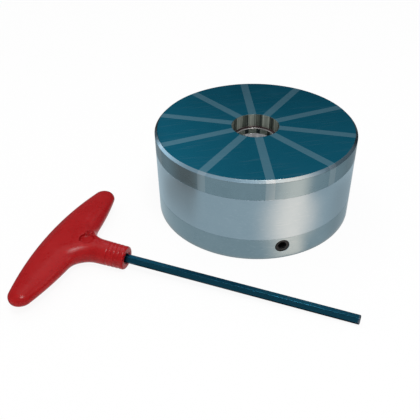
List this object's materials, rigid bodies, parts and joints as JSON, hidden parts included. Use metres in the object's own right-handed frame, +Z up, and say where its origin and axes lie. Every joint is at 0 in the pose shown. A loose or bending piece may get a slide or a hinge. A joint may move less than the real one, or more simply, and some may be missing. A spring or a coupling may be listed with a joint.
{
  "type": "round permanent magnetic chuck",
  "caption": "Round permanent-magnet chuck with radial poles and a centre bore, switched by a hex key that turns its geared magnet rotor, with the loose T-handled key.",
  "frame": {"origin": "centre of the chuck's underside, at the mouth of the base register", "axes": "+Z up through the magnetic face along the chuck's axis; the key socket looks out along -Y"},
  "size_m": [0.2784, 0.2363, 0.071],
  "materials": {
    "pole_steel": "ground face, fine turned rim",
    "spacer_metal": "non-magnetic alloy, ground flush with the poles",
    "ring_metal": "fine turned, satin",
    "base_steel": "turned, satin",
    "tube_metal": "bored, semi-bright",
    "rotor_iron": "machined",
    "magnet_nickel": "nickel plated",
    "carrier_bronze": "turned",
    "bush_bronze": "turned",
    "gear_steel": "hardened, ground",
    "black_steel": "black oxide",
    "black_fastener": "black oxide",
    "seal_rubber": "nitrile",
    "red_plastic": "moulded, semi-gloss",
    "blade_steel": "blackened, lightly oiled"
  },
  "bodies": {
    "chuck_body": {"base_plate": "base_steel", "housing_ring": "ring_metal", "centre_tube": "tube_metal", "tube_screws": "black_fastener", "clamp_screws": "black_fastener", "dowel_pins": "gear_steel", "ring_seals": "seal_rubber", "tube_seal": "seal_rubber", "thrust_washer": "bush_bronze", "stop_pin": "gear_steel", "spindle_bush": "bush_bronze", "pole_sector_01": "pole_steel", "pole_sector_02": "pole_steel", "pole_sector_03": "pole_steel", "pole_sector_04": "pole_steel", "pole_sector_05": "pole_steel", "pole_sector_06": "pole_steel", "pole_sector_07": "pole_steel", "pole_sector_08": "pole_steel", "pole_sector_09": "pole_steel", "pole_sector_10": "pole_steel", "spacer_01": "spacer_metal", "spacer_02": "spacer_metal", "spacer_03": "spacer_metal", "spacer_04": "spacer_metal", "spacer_05": "spacer_metal", "spacer_06": "spacer_metal", "spacer_07": "spacer_metal", "spacer_08": "spacer_metal", "spacer_09": "spacer_metal", "spacer_10": "spacer_metal"},
    "magnet_rotor": {"rotor_carrier": "carrier_bronze", "pole_screws": "black_fastener", "crown_gear": "gear_steel", "crown_screws": "black_fastener", "rotor_pole_01": "rotor_iron", "rotor_pole_02": "rotor_iron", "rotor_pole_03": "rotor_iron", "rotor_pole_04": "rotor_iron", "rotor_pole_05": "rotor_iron", "rotor_pole_06": "rotor_iron", "rotor_pole_07": "rotor_iron", "rotor_pole_08": "rotor_iron", "rotor_pole_09": "rotor_iron", "rotor_pole_10": "rotor_iron", "magnet_01": "magnet_nickel", "magnet_02": "magnet_nickel", "magnet_03": "magnet_nickel", "magnet_04": "magnet_nickel", "magnet_05": "magnet_nickel", "magnet_06": "magnet_nickel", "magnet_07": "magnet_nickel", "magnet_08": "magnet_nickel", "magnet_09": "magnet_nickel", "magnet_10": "magnet_nickel"},
    "spindle": {"drive_spindle": "black_steel", "spindle_clip": "black_fastener", "spindle_seal": "seal_rubber"},
    "key": {"key_handle": "red_plastic", "key_blade": "blade_steel"}
  },
  "joints": [
    {"name": "rotor_turn", "type": "hinge", "parent": "chuck_body", "child": "magnet_rotor", "pos_m": [0, 0, 0.035], "axis": [0, 0, 1], "range_deg": [-18, 0]},
    {"name": "spindle_turn", "type": "hinge", "parent": "chuck_body", "child": "spindle", "pos_m": [0, -0.06, 0.01166], "axis": [0, -1, 0], "range_deg": [0, 180]},
    {"name": "key_lift", "type": "slide", "parent": "chuck_body", "child": "key", "axis": [0, 0, 1], "range_m": [0, 0.15]}
  ],
  "couplings": [
    {"joint": "spindle_turn", "follows": "rotor_turn", "ratio": -10}
  ]
}
